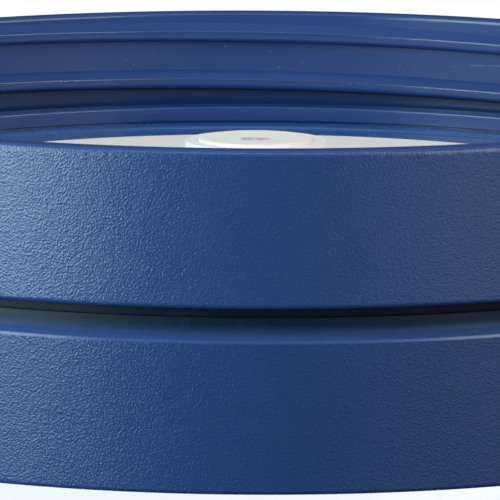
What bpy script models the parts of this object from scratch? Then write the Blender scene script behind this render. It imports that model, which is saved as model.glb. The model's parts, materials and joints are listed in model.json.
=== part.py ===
"""Bear canister: a clear food barrel, a navy collar in two bands, and a recessed screw-in lid
with three coin locks. Metres, +Z up, origin at the centre of the underside."""

import math

import bmesh
import bpy
from mathutils import Matrix, Vector

MM = 0.001
FIT = 0.3  # gap between pieces that touch, mm
MERGE = 0.00001  # merge distance of turned shapes, m
RING_STEPS = 36  # facets round the large rings
SMALL_STEPS = 12  # facets round screws, bosses and holes
ARC_STEPS = 1  # facets of each rounded corner

# Heights are given as depths below the collar's rim, in mm.
HEIGHT = 320.0  # underside to rim

# Collar
COLLAR_R = 110.5
BORE_R = 105.7  # root of the collar's thread
BORE_BOTTOM = 36.4
SEAT_R = 103.8  # bore below the thread
MOUTH_R = 96.6  # opening of the seal seat
GROOVE_R = 108.2  # back wall of the groove between the bands
UPPER_BAND_BOTTOM = 29.2
LOWER_BAND_TOP = 34.6
LIP_TOP = 31.0  # top of the lower band's sloping lip
SEAT_TOP = 40.6
SEAT_BOTTOM = 43.4
CAM_POCKET_R = 100.2  # pocket under the seat that the lock cams swing in
GASKET_STEP = (102.9, 48.0)  # radius and depth of the step that presses on the neck gasket
JOINT_FACE = 49.7  # where the upper ring meets the barrel's flange
COLLAR_BOTTOM = 63.5
COLLAR_SCREWS = 6
COLLAR_SCREW_R = 105.4
COLLAR_HOLE_R = 1.6
COLLAR_HOLE_TOP = 42.0
COLLAR_SCREW = (1.3, 42.8)  # radius of the shank and depth of its top
COLLAR_SCREW_HEAD = (2.6, 55.0, 57.4)  # radius, and depths of its top and bottom

# Barrel
WALL = 3.2
NECK_R = 99.8
NECK_BOTTOM = 70.0
BARREL_R = 102.4
BARREL_TOP = 77.0
FLANGE_R = 108.2
FLANGE_TOP = 50.0
FLANGE_THICK = 3.0
BEAD_R = 104.6  # raised beads that keep a pack strap in place
BEAD_WIDTH = 5.0
BEAD_CENTRES = (114.0, 150.0, 246.0, 282.0)
FOOT_R = 96.0
FOOT_INNER_R = 84.0
FOOT_RISE = 4.0

# Thread
LEAD = 10.2
FEMALE_CREST_R = 103.8
MALE_CREST_R = 105.0
THREAD_PHASE = 90.0  # azimuth, degrees, where a female ridge is at PHASE_DEPTH
PHASE_DEPTH = 4.1
MALE_DROP = 2.6  # male ridge below the female ridge it bears on
FEMALE_SPAN = (2.4, 34.4)  # depths of its ends
MALE_SPAN = (24.0, 34.6)
FEMALE_SECTION = (1.2, -2.3, 0.0, -2.1)  # upper and lower height at the root, then at the crest
MALE_SECTION = (0.1, -3.3, 0.0, -2.1)
THREAD_FADE = 30.0  # degrees of run-out at each end

# Lid
LID_R = 103.1
LID_TOP = 19.5
LID_BOTTOM = 38.0
LAND_R = 97.9  # inner edge of the lid's rim land
FLOOR = 23.1
FLOOR_THICK = 3.0
SKIRT_R = 99.3
RECESS_R = 81.6  # recess that holds the panel
RECESS_FLOOR = 26.9
LIP_R = 75.5
LIP_OUTER_R = 84.5
LIP_BOTTOM = 29.1
GRIP_R = 87.5  # finger bars, left and right
GRIP_LENGTH = 46.0
GRIP_WIDTH = 7.0
GRIP_TOP = 9.0

# Panel
PANEL_R = 81.3
PANEL_TOP = 23.0
PANEL_THICK = 2.5
BOSS_TOP = 12.45
BOSS_R = 11.1
SHOULDER_R = 14.0
SHOULDER_DROP = 0.6
PANEL_SCREWS = 6
PANEL_SCREW_R = 71.0
PANEL_GASKET_R = (76.0, 81.0)
RETAINER_R = (66.0, 79.5)
RETAINER_SPAN = (29.4, 31.9)

# Seals
NECK_GASKET_R = (100.5, 102.6)
LID_SEAL_R = (99.6, 102.8)

# Locks
LOCKS = 3
LOCK_FIRST = 270.0  # azimuth of lock 1, degrees
LOCK_AXIS_R = 89.0
HEAD_R = 6.0
HEAD_SPAN = (23.2, 24.7)
BARREL_SHANK_R = 4.4
TUBE_R = 6.4
TUBE_BOTTOM = 43.9
STUB_R = 3.0
CAM_SPAN = (44.3, 46.8)
CAM_REACH = 9.8
CAM_HALF_WIDTH = 3.6
CAM_HUB_R = 4.6
COIN_SLOT = (2.2, 0.9)  # width, depth


def height(depth):
    """World height in mm of a depth below the rim."""
    return HEIGHT - depth


def polar(radius, azimuth, z=0.0):
    """World point in mm at an azimuth in degrees."""
    turn = math.radians(azimuth)
    return Vector((radius * math.cos(turn), radius * math.sin(turn), z))


def material(name, colour, roughness, metallic=0.0, transmission=0.0):
    made = bpy.data.materials.new(name)
    made.use_nodes = True
    shader = made.node_tree.nodes["Principled BSDF"]
    shader.inputs["Base Color"].default_value = (*colour, 1.0)
    shader.inputs["Roughness"].default_value = roughness
    shader.inputs["Metallic"].default_value = metallic
    shader.inputs["Transmission Weight"].default_value = transmission
    made.diffuse_color = (*colour, 1.0)
    return made


def collection(name):
    made = bpy.data.collections.new(name)
    bpy.context.scene.collection.children.link(made)
    return made


def empty(name, location, parent=None):
    """A frame that moving pieces hang on, at a point on their joint's axis in mm."""
    made = bpy.data.objects.new(name, None)
    PARTS.objects.link(made)
    made.parent = parent
    made.location = Vector(location) * MM
    return made


def rounded(corners):
    """Outline in mm. Each corner is (radius, depth, rounding), and a rounding above 0 becomes an arc."""
    points = []
    for index, (radius, depth, rounding) in enumerate(corners):
        here = Vector((radius, height(depth)))
        if rounding == 0:
            points.append(here)
            continue
        before, after = corners[index - 1], corners[(index + 1) % len(corners)]
        back = (Vector((before[0], height(before[1]))) - here).normalized()
        on = (Vector((after[0], height(after[1]))) - here).normalized()
        half = back.angle(on) / 2
        reach = rounding / math.tan(half)
        centre = here + (back + on).normalized() * rounding / math.sin(half)
        start, end = here + back * reach - centre, here + on * reach - centre
        for step in range(ARC_STEPS + 1):
            points.append(centre + start.slerp(end, step / ARC_STEPS).normalized() * rounding)
    return points


def turned_mesh(name, points, closed, steps):
    """A profile at +X turned about Z by a Screw modifier, as a finished mesh."""
    wire = bpy.data.meshes.new(name)
    edges = [(i, i + 1) for i in range(len(points) - 1)]
    if closed:
        edges.append((len(points) - 1, 0))
    wire.from_pydata([(p[0] * MM, 0.0, p[1] * MM) for p in points], edges, [])
    holder = bpy.data.objects.new(name, wire)
    bpy.context.scene.collection.objects.link(holder)
    screw = holder.modifiers.new("turn", "SCREW")
    screw.axis = "Z"
    screw.steps = steps
    screw.render_steps = steps
    screw.use_merge_vertices = True
    screw.merge_threshold = MERGE
    mesh = evaluated_mesh(holder)
    bpy.data.objects.remove(holder)
    bpy.data.meshes.remove(wire)
    return mesh


def evaluated_mesh(holder):
    """The object's mesh with its modifiers applied, in its own axes."""
    bpy.context.view_layer.update()
    depsgraph = bpy.context.evaluated_depsgraph_get()
    return bpy.data.meshes.new_from_object(holder.evaluated_get(depsgraph))


def turned(name, corners, closed=True, steps=RING_STEPS):
    """A turned shape from corners in mm, linked nowhere yet."""
    return bpy.data.objects.new(name, turned_mesh(name, rounded(corners), closed, steps))


def cylinder(name, radius, top, bottom, steps=SMALL_STEPS):
    """An upright solid cylinder on its object's own axis, between two depths."""
    mesh = bpy.data.meshes.new(name)
    bm = bmesh.new()
    middle = Matrix.Translation((0, 0, height((top + bottom) / 2) * MM))
    middle @= Matrix.Rotation(math.pi / steps, 4, "Z")
    bmesh.ops.create_cone(
        bm,
        cap_ends=True,
        segments=steps,
        radius1=radius * MM,
        radius2=radius * MM,
        depth=(bottom - top) * MM,
        matrix=middle,
    )
    bm.to_mesh(mesh)
    bm.free()
    return bpy.data.objects.new(name, mesh)


def box(name, size, centre):
    """A box of a size in mm about a centre in mm."""
    mesh = bpy.data.meshes.new(name)
    bm = bmesh.new()
    place = Matrix.Translation(Vector(centre) * MM) @ Matrix.Diagonal((*(Vector(size) * MM), 1.0))
    bmesh.ops.create_cube(bm, size=1.0, matrix=place)
    bm.to_mesh(mesh)
    bm.free()
    return bpy.data.objects.new(name, mesh)


def thread_ridge(name, root_r, crest_r, drop, span, section):
    """A helical ridge lofted through its sections, which sink into the wall at both ends."""
    mesh = bpy.data.meshes.new(name)
    bm = bmesh.new()
    inward = math.copysign(1.0, crest_r - root_r)
    sunk_r = root_r - inward * 1.0
    top_root, bottom_root, top_crest, bottom_crest = section
    degrees = (span[1] - span[0]) / LEAD * 360.0
    count = round(degrees / 360.0 * RING_STEPS)
    first = THREAD_PHASE + (PHASE_DEPTH + drop - span[0]) / LEAD * 360.0
    rings = []
    for step in range(count + 1):
        run = degrees * step / count
        full = min(1.0, run / THREAD_FADE, (degrees - run) / THREAD_FADE)
        crest = root_r - inward * 0.3 + inward * full * (abs(crest_r - root_r) + 0.3)
        middle = height(span[0] + LEAD * run / 360.0)
        corners = (
            (sunk_r, top_root),
            (crest, top_crest),
            (crest, bottom_crest),
            (sunk_r, bottom_root),
        )
        rings.append([bm.verts.new(polar(r, first - run, middle + z) * MM) for r, z in corners])
    for near, far in zip(rings, rings[1:]):
        for i in range(4):
            j = (i + 1) % 4
            bm.faces.new((near[i], near[j], far[j], far[i]))
    bm.faces.new(reversed(rings[0]))
    bm.faces.new(rings[-1])
    bmesh.ops.recalc_face_normals(bm, faces=bm.faces)
    bm.to_mesh(mesh)
    bm.free()
    return bpy.data.objects.new(name, mesh)


def combine(target, tools, operation):
    """Boolean modifiers on target, one for each tool, which joins the cutters."""
    for piece in (target, *tools):
        if not piece.users_collection:
            CUTTERS.objects.link(piece)
    for tool in tools:
        tool.hide_render = True
        tool.display_type = "WIRE"
        cut = target.modifiers.new(tool.name, "BOOLEAN")
        cut.operation = operation
        cut.object = tool
        cut.solver = "EXACT"


def finish(target, finish_material, parent=None):
    """Bakes the modifiers, shades the piece and puts it with the parts."""
    if not target.users_collection:
        CUTTERS.objects.link(target)
    mesh = evaluated_mesh(target)
    target.modifiers.clear()
    target.data = mesh
    bm = bmesh.new()
    bm.from_mesh(mesh)
    bmesh.ops.remove_doubles(bm, verts=bm.verts, dist=MERGE)
    bmesh.ops.dissolve_degenerate(bm, dist=MERGE, edges=bm.edges)
    bm.to_mesh(mesh)
    bm.free()
    mesh.shade_smooth()
    mesh.set_sharp_from_angle(angle=math.radians(35))
    mesh.materials.clear()
    mesh.materials.append(finish_material)
    for holder in target.users_collection:
        holder.objects.unlink(target)
    PARTS.objects.link(target)
    target.parent = parent
    return target


def placed(tool, location):
    """Moves a tool or a piece to a point in mm."""
    tool.location = Vector(location) * MM
    return tool


def spread(count, first=0.0):
    """Azimuths in degrees of count pieces spaced evenly round the axis."""
    return [first + 360.0 * i / count for i in range(count)]


def make_barrel():
    """The clear barrel: a flange and neck under the collar, strap beads, a foot and a raised base."""
    inner = [
        (0, HEIGHT - FOOT_RISE - WALL, 0),
        (FOOT_INNER_R - 4.0, HEIGHT - FOOT_RISE - WALL, 0),
        (FOOT_INNER_R, HEIGHT - WALL, 0),
        (BARREL_R - WALL, HEIGHT - WALL, 7.0),
        (BARREL_R - WALL, BARREL_TOP, 0),
        (NECK_R - WALL, NECK_BOTTOM, 0),
        (NECK_R - WALL, FLANGE_TOP, 0),
    ]
    outer = [
        (FLANGE_R, FLANGE_TOP, 0),
        (FLANGE_R, FLANGE_TOP + FLANGE_THICK, 0),
        (NECK_R, FLANGE_TOP + FLANGE_THICK, 0),
        (NECK_R, NECK_BOTTOM, 0),
        (BARREL_R, BARREL_TOP, 0),
    ]
    rise = BEAD_R - BARREL_R
    for centre in BEAD_CENTRES:
        outer += [
            (BARREL_R, centre - BEAD_WIDTH / 2 - rise, 0),
            (BEAD_R, centre - BEAD_WIDTH / 2, 0),
            (BEAD_R, centre + BEAD_WIDTH / 2, 0),
            (BARREL_R, centre + BEAD_WIDTH / 2 + rise, 0),
        ]
    outer += [
        (BARREL_R, HEIGHT - 7.0, 2.5),
        (FOOT_R, HEIGHT, 0),
        (FOOT_INNER_R + 2.0, HEIGHT, 0),
        (FOOT_INNER_R - 2.0, HEIGHT - FOOT_RISE, 0),
        (0, HEIGHT - FOOT_RISE, 0),
    ]
    shell = turned("canister_shell", inner + outer, closed=False)
    holes = []
    for azimuth in spread(COLLAR_SCREWS):
        ends = (FLANGE_TOP - 1.0, FLANGE_TOP + FLANGE_THICK + 1.0)
        hole = cylinder("flange_hole", COLLAR_HOLE_R, *ends)
        holes.append(placed(hole, polar(COLLAR_SCREW_R, azimuth)))
    combine(shell, holes, "DIFFERENCE")
    finish(shell, CLEAR)


def make_collar_upper():
    """The upper band, with the female thread inside it and the seal seat at its foot."""
    step_r, step = GASKET_STEP
    ring = turned(
        "collar_upper",
        [
            (COLLAR_R, 0.0, 1.2),
            (COLLAR_R, UPPER_BAND_BOTTOM, 0.9),
            (GROOVE_R, UPPER_BAND_BOTTOM, 0),
            (GROOVE_R, JOINT_FACE, 0),
            (step_r, JOINT_FACE, 0),
            (step_r, step, 0),
            (CAM_POCKET_R, step, 0),
            (CAM_POCKET_R, SEAT_BOTTOM, 0),
            (MOUTH_R, SEAT_BOTTOM, 0),
            (MOUTH_R, SEAT_TOP, 0),
            (SEAT_R, SEAT_TOP, 0),
            (SEAT_R, BORE_BOTTOM + 1.2, 0),
            (BORE_R, BORE_BOTTOM, 0),
            (BORE_R, 0.0, 0.9),
        ],
    )
    ridge = thread_ridge("female_ridge", BORE_R, FEMALE_CREST_R, 0.0, FEMALE_SPAN, FEMALE_SECTION)
    combine(ring, [ridge], "UNION")
    holes = []
    for azimuth in spread(COLLAR_SCREWS):
        hole = cylinder("pilot_hole", COLLAR_HOLE_R, COLLAR_HOLE_TOP, JOINT_FACE + 1.0)
        holes.append(placed(hole, polar(COLLAR_SCREW_R, azimuth)))
    combine(ring, holes, "DIFFERENCE")
    finish(ring, NAVY)


def make_collar_lower():
    """The lower band, which clamps the barrel's flange from below."""
    pocket_r = GROOVE_R + FIT
    flange_bottom = FLANGE_TOP + FLANGE_THICK + FIT
    ring = turned(
        "collar_lower",
        [
            (pocket_r, LIP_TOP, 0),
            (COLLAR_R - 0.4, LOWER_BAND_TOP - 0.3, 0),
            (COLLAR_R, LOWER_BAND_TOP + 0.5, 0),
            (COLLAR_R, COLLAR_BOTTOM, 0.8),
            (NECK_R + 0.4, COLLAR_BOTTOM, 0),
            (NECK_R + 0.4, flange_bottom, 0),
            (pocket_r, flange_bottom, 0),
        ],
    )
    head_r, head_top, head_bottom = COLLAR_SCREW_HEAD
    holes = []
    for azimuth in spread(COLLAR_SCREWS):
        place = polar(COLLAR_SCREW_R, azimuth)
        shank_hole = cylinder("shank_hole", COLLAR_HOLE_R, flange_bottom - 1.0, head_bottom)
        head_hole = cylinder("head_hole", head_r + FIT, head_top - FIT, COLLAR_BOTTOM + 1.0)
        holes += [placed(shank_hole, place), placed(head_hole, place)]
    combine(ring, holes, "DIFFERENCE")
    finish(ring, NAVY)


def flat_ring(name, radii, span, finish_material, parent=None):
    inner, outer = radii
    ring = turned(name, [(outer, span[0], 0), (outer, span[1], 0), (inner, span[1], 0), (inner, span[0], 0)])
    return finish(ring, finish_material, parent)


def make_screw(name, shank_r, shank_top, head, place, parent=None):
    """A pan-head screw driven upwards, with its head at the bottom."""
    head_r, head_top, head_bottom = head
    corners = [
        (0, shank_top, 0),
        (shank_r * 0.6, shank_top, 0),
        (shank_r, shank_top + 0.8, 0),
        (shank_r, head_top, 0),
        (head_r, head_top, 0),
        (head_r, head_bottom - 0.6, 0),
        (head_r - 0.6, head_bottom, 0),
        (0, head_bottom, 0),
    ]
    screw = turned(name, corners, closed=False, steps=SMALL_STEPS)
    finish(screw, STEEL, parent)
    return placed(screw, place)


def make_collar_screws():
    for index, azimuth in enumerate(spread(COLLAR_SCREWS), 1):
        place = polar(COLLAR_SCREW_R, azimuth)
        make_screw(f"collar_screw_{index}", *COLLAR_SCREW, COLLAR_SCREW_HEAD, place)


def lock_azimuths():
    return spread(LOCKS, LOCK_FIRST)


def make_lid_dish(parent):
    """The recessed lid: rim, floor, threaded skirt, lock tubes, finger bars and the panel's recess."""
    dish = turned(
        "lid_dish",
        [
            (LID_R, LID_TOP, 0.6),
            (LID_R, LID_BOTTOM, 0.6),
            (SKIRT_R, LID_BOTTOM, 0),
            (SKIRT_R, FLOOR + FLOOR_THICK, 0),
            (LIP_OUTER_R, FLOOR + FLOOR_THICK, 0),
            (LIP_OUTER_R, LIP_BOTTOM, 0),
            (LIP_R, LIP_BOTTOM, 0),
            (LIP_R, RECESS_FLOOR, 0),
            (RECESS_R, RECESS_FLOOR, 0),
            (RECESS_R, FLOOR, 0),
            (LAND_R, FLOOR, 1.0),
            (LAND_R, LID_TOP, 0.5),
        ],
    )
    ridge = thread_ridge("male_ridge", LID_R, MALE_CREST_R, MALE_DROP, MALE_SPAN, MALE_SECTION)
    adds = [ridge]
    for azimuth in lock_azimuths():
        tube = cylinder("lock_tube", TUBE_R, FLOOR + 1.0, TUBE_BOTTOM, steps=2 * SMALL_STEPS)
        adds.append(placed(tube, polar(LOCK_AXIS_R, azimuth)))
    for side in (-1, 1):
        tall = FLOOR + 1.0 - GRIP_TOP
        centre = (side * GRIP_R, 0.0, height((FLOOR + 1.0 + GRIP_TOP) / 2))
        bar = box("finger_bar", (GRIP_WIDTH, GRIP_LENGTH, tall), centre)
        soften = bar.modifiers.new("edges", "BEVEL")
        soften.width = 1.8 * MM
        soften.segments = ARC_STEPS
        adds.append(bar)
    combine(dish, adds, "UNION")
    holes = []
    for azimuth in lock_azimuths():
        place = polar(LOCK_AXIS_R, azimuth)
        bore_r, seat_r = BARREL_SHANK_R + FIT, HEAD_R + FIT
        holes.append(placed(cylinder("lock_bore", bore_r, 20.0, 50.0, 2 * SMALL_STEPS), place))
        seat = cylinder("head_seat", seat_r, 20.0, HEAD_SPAN[1] + FIT, 2 * SMALL_STEPS)
        holes.append(placed(seat, place))
    combine(dish, holes, "DIFFERENCE")
    finish(dish, NAVY, parent)


def make_lid_panel(parent):
    """The white panel with its raised centre boss and the screw bosses under its edge."""
    under = PANEL_TOP + PANEL_THICK
    shoulder = BOSS_TOP + SHOULDER_DROP
    panel = turned(
        "lid_panel",
        [
            (0, BOSS_TOP, 0),
            (BOSS_R, BOSS_TOP, 0.4),
            (BOSS_R + 0.4, shoulder, 0),
            (SHOULDER_R, shoulder, 0.4),
            (SHOULDER_R + 1.2, PANEL_TOP, 0),
            (PANEL_R, PANEL_TOP, 0),
            (PANEL_R, under, 0),
            (SHOULDER_R - 1.0, under, 0),
            (SHOULDER_R - 2.2, BOSS_TOP + PANEL_THICK + 1.0, 0),
            (0, BOSS_TOP + PANEL_THICK + 1.0, 0),
        ],
        closed=False,
    )
    bosses, holes = [], []
    for azimuth in spread(PANEL_SCREWS, 30.0):
        place = polar(PANEL_SCREW_R, azimuth)
        bosses.append(placed(cylinder("screw_boss", 3.8, under - 1.0, LIP_BOTTOM), place))
        holes.append(placed(cylinder("boss_hole", 1.5, under - 0.6, LIP_BOTTOM + 1.0), place))
    combine(panel, bosses, "UNION")
    combine(panel, holes, "DIFFERENCE")
    finish(panel, WHITE, parent)


def make_panel_retainer(parent):
    """The ring under the lid that clamps the panel and its gasket."""
    inner, outer = RETAINER_R
    top, bottom = RETAINER_SPAN
    ring = turned(
        "panel_retainer", [(outer, top, 0), (outer, bottom, 0.6), (inner, bottom, 0.6), (inner, top, 0)]
    )
    holes = []
    for azimuth in spread(PANEL_SCREWS, 30.0):
        hole = cylinder("retainer_hole", 1.5, top - 1.0, bottom + 1.0)
        holes.append(placed(hole, polar(PANEL_SCREW_R, azimuth)))
    combine(ring, holes, "DIFFERENCE")
    finish(ring, NAVY, parent)
    head_top = bottom + FIT
    for index, azimuth in enumerate(spread(PANEL_SCREWS, 30.0), 1):
        place = polar(PANEL_SCREW_R, azimuth)
        head = (2.6, head_top, head_top + 2.0)
        make_screw(f"retainer_screw_{index}", 1.2, PANEL_TOP + PANEL_THICK, head, place, parent)


def make_lock(index, azimuth, lid):
    """One coin lock: a slotted barrel, the cam that swings under the seal seat, and its screw."""
    axis = empty(f"lock_{index}_axis", polar(LOCK_AXIS_R, azimuth), lid)
    axis.rotation_euler.z = math.radians(azimuth)
    barrel = turned(
        f"lock_barrel_{index}",
        [
            (0, HEAD_SPAN[0], 0),
            (HEAD_R, HEAD_SPAN[0], 0.4),
            (HEAD_R, HEAD_SPAN[1], 0),
            (BARREL_SHANK_R, HEAD_SPAN[1], 0),
            (BARREL_SHANK_R, TUBE_BOTTOM + 0.1, 0),
            (STUB_R, TUBE_BOTTOM + 0.1, 0),
            (STUB_R, CAM_SPAN[1] + 0.2, 0),
            (1.7, CAM_SPAN[1] + 0.2, 0),
            (1.7, 36.0, 0),
            (0, 36.0, 0),
        ],
        closed=False,
        steps=2 * SMALL_STEPS,
    )
    width, depth = COIN_SLOT
    slot = box("coin_slot", (width, 3 * HEAD_R, 2 * depth), (0, 0, height(HEAD_SPAN[0])))
    combine(barrel, [slot], "DIFFERENCE")
    finish(barrel, STEEL, axis)

    cam = cylinder(f"lock_cam_{index}", CAM_HUB_R, *CAM_SPAN, 2 * SMALL_STEPS)
    thick = CAM_SPAN[1] - CAM_SPAN[0]
    middle = height(sum(CAM_SPAN) / 2)
    arm = box("cam_arm", (2 * CAM_HALF_WIDTH, CAM_REACH, thick), (0, CAM_REACH / 2, middle))
    combine(cam, [arm], "UNION")
    combine(cam, [cylinder("cam_hole", STUB_R + FIT, 40.0, 50.0)], "DIFFERENCE")
    finish(cam, STEEL, axis)

    head_top = CAM_SPAN[1] + 0.2 + FIT
    make_screw(f"lock_screw_{index}", 1.4, 37.0, (4.2, head_top, head_top + 2.0), (0, 0, 0), axis)


for old in list(bpy.data.objects):
    bpy.data.objects.remove(old, do_unlink=True)

PARTS = collection("bear_canister")
CUTTERS = collection("cutters")
NAVY = material("navy_plastic", (0.020, 0.062, 0.190), 0.42)
WHITE = material("white_plastic", (0.66, 0.66, 0.65), 0.45)
CLEAR = material("clear_polycarbonate", (0.80, 0.90, 0.96), 0.05, transmission=1.0)
RUBBER = material("seal_rubber", (0.03, 0.03, 0.035), 0.7)
STEEL = material("stainless_steel", (0.62, 0.62, 0.60), 0.3, metallic=1.0)

make_barrel()
make_collar_upper()
make_collar_lower()
flat_ring("neck_gasket", NECK_GASKET_R, (GASKET_STEP[1] + FIT, FLANGE_TOP - FIT), RUBBER)
make_collar_screws()
LID = empty("lid_axis", (0, 0, 0))
flat_ring("lid_seal", LID_SEAL_R, (LID_BOTTOM + FIT, SEAT_TOP - FIT), RUBBER, LID)
make_lid_dish(LID)
make_lid_panel(LID)
flat_ring(
    "panel_gasket",
    PANEL_GASKET_R,
    (PANEL_TOP + PANEL_THICK + FIT, RECESS_FLOOR - FIT),
    RUBBER,
    LID,
)
make_panel_retainer(LID)
for number, direction in enumerate(lock_azimuths(), 1):
    make_lock(number, direction, LID)
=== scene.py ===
"""Looks of the bear canister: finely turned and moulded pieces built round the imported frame,
with their materials, in a pale studio. Metres in the scene; sizes below are in mm, angles in
degrees, and depths are measured downwards from the collar's rim."""

import json
import math
import random

import bmesh
import bpy
from mathutils import Matrix, Vector, noise

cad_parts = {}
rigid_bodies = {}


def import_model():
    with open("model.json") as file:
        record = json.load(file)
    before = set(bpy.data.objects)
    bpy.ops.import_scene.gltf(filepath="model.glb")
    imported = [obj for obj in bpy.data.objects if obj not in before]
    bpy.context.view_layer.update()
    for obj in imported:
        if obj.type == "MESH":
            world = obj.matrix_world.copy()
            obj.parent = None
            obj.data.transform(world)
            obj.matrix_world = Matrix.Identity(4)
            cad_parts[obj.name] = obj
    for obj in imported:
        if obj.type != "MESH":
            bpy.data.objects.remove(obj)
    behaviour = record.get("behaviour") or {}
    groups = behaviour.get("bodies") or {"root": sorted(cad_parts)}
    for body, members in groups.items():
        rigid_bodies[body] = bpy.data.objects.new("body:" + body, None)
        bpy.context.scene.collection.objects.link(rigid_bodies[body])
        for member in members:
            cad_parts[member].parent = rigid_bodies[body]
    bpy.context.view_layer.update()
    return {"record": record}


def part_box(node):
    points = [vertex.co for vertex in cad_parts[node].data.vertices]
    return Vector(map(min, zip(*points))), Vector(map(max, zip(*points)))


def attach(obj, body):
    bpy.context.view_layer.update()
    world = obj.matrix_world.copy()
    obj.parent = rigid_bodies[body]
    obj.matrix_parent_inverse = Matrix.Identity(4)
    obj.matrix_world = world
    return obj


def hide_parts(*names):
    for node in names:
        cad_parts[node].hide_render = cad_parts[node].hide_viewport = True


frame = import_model()

MM = 0.001
CANISTER, SEAL, LID = "canister", "seal", "lid"
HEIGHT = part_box("collar_upper")[1].z / MM  # from the canister's underside to the rim
COLLAR_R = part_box("collar_upper")[1].x / MM
LEAD = math.tau * frame["record"]["behaviour"]["couplings"][0]["ratio"] / MM

RING_STEPS = 256  # facets round the large rings
SMALL_STEPS = 48  # facets round screws, bosses and locks
SINK_STEPS = 32  # facets round the sinks of the collar's screws
HOLE_STEPS = 24  # facets round screw holes
ARC_STEPS = 5  # facets of each rounded corner
SECTION_STEPS = 4  # facets of each rounded corner of a thread's ridge
GUARD = 0.25  # from a rounded corner to the point that keeps smooth shading on it
GUARD_ROOM = 1.0  # length of side that such a point needs
SHARP_ANGLE = 32.0  # edges that turn by more stay sharp
WELD = 1e-7  # metres between points that are one
FIT = 0.3  # clearance

# Radii and depths that no node's box gives, of the collar
BORE_R = 105.7
CREST_R = 103.8  # of the female thread
SEAT_R = 103.8  # of the seal seat
MOUTH_R = 96.6
CAM_POCKET_R = 100.2
GROOVE_WALL_R = 106.8
FLANGE_R = 108.2  # of the barrel's flange and of the band above it
SCREW_CIRCLE_R = 105.4
SCREW_HOLE_R = 1.6
BAND_BOTTOM = 29.2  # of the upper band's outer face
LIP_BOTTOM = 35.5  # of the lower band's lip
THREAD_START = 4.1  # of the female ridge's crest at the back, azimuth 90
THREAD_FADE = 30.0  # run-out in degrees
# Depths where the groove's painted shade is darkest and where it has faded out
PAINTED_SHADE_TOP, PAINTED_SHADE_BOTTOM = 32.2, 35.6

# Of the barrel
WALL = 3.2
NECK_R = 99.8
BODY_R = 102.4
BEAD_R = 104.6
BEADS = (114.0, 150.0, 246.0, 282.0)
FLANGE_TOP, FLANGE_BOTTOM = 50.0, 53.0
NECK_BOTTOM, BODY_TOP = 70.0, 77.0

# Of the lid
LID_R = 103.1
SKIRT_R = 99.3
MALE_CREST_R = 105.0
LAND_R = 97.9
LEDGE_R = 92.2
RECESS_R = 81.6
RETAINER_R, RETAINER_INNER_R = 79.5, 66.0
POCKET_R, POCKET_INNER_R = 84.5, 75.5
PANEL_SCREW_R = 71.0
PANEL_HOLE_R = 1.5
LID_TOP, LID_BOTTOM = 19.25, 38.0
FLOOR = 23.1
LEDGE = FLOOR - 0.45
PANEL_TOP, PANEL_UNDER = 22.85, 25.5
GASKET_SEAT = 26.9
RETAINER_SEAT = 29.1

# Of the locks
LOCK_AXIS_R = 89.0
LOCK_HEAD_R = 6.0
LOCK_SHAFT_R = 4.4
LOCK_STUD_R = 3.0
LOCK_TOP, LOCK_HEAD_UNDER = 23.2, 24.7
TUBE_BOTTOM = 43.9
CAM_TOP, CAM_BOTTOM = 44.3, 46.8

# Of the screws: radii of shank and head, depth of the head's upper face, radius of the hex recess
COLLAR_SCREW = (1.3, 2.6, 55.0, 1.25)
RETAINER_SCREW = (1.2, 2.6, 32.2, 1.2)
LOCK_SCREW = (1.4, 4.2, CAM_BOTTOM + 0.5, 1.5)


def top_of(node):
    """Depth of a node's top."""
    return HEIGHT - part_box(node)[1].z / MM


def bottom_of(node):
    """Depth of a node's underside."""
    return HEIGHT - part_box(node)[0].z / MM


def radius_of(node):
    """Outer radius of a node turned about the canister's axis."""
    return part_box(node)[1].x / MM


def own_radius_of(node):
    """Radius of a node turned about an axis of its own."""
    low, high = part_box(node)
    return (high.y - low.y) / 2 / MM


# ---------------------------------------------------------------- shapes


def height(depth):
    """Height above the canister's underside."""
    return HEIGHT - depth


def polar(radius, azimuth, z=0.0):
    """Point at an azimuth."""
    turn = math.radians(azimuth)
    return Vector((radius * math.cos(turn), radius * math.sin(turn), z))


def spread(count, first=0.0):
    """Azimuths of things evenly round a ring."""
    return [first + 360.0 * i / count for i in range(count)]


def as_object(name, bm):
    """Makes an object from a bmesh, which is freed."""
    mesh = bpy.data.meshes.new(name)
    bm.to_mesh(mesh)
    bm.free()
    return bpy.data.objects.new(name, mesh)


def rounded(corners, arc_steps, guards=False):
    """Closed outline in (radius, height). A corner (radius, height, rounding) becomes an arc, with
    a guard point just beyond each end of it if asked."""
    points = []
    for index, (radius, z, rounding) in enumerate(corners):
        here = Vector((radius, z))
        if rounding == 0:
            points.append(here)
            continue
        back = Vector(corners[index - 1][:2]) - here
        on = Vector(corners[(index + 1) % len(corners)][:2]) - here
        room_back, room_on = back.length, on.length
        back.normalize()
        on.normalize()
        half = back.angle(on) / 2
        reach = rounding / math.tan(half)
        centre = here + (back + on).normalized() * rounding / math.sin(half)
        start, end = here + back * reach - centre, here + on * reach - centre
        if guards and room_back > reach + GUARD_ROOM:
            points.append(here + back * (reach + GUARD))
        for step in range(arc_steps + 1):
            points.append(centre + start.slerp(end, step / arc_steps).normalized() * rounding)
        if guards and room_on > reach + GUARD_ROOM:
            points.append(here + on * (reach + GUARD))
    return points


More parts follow.
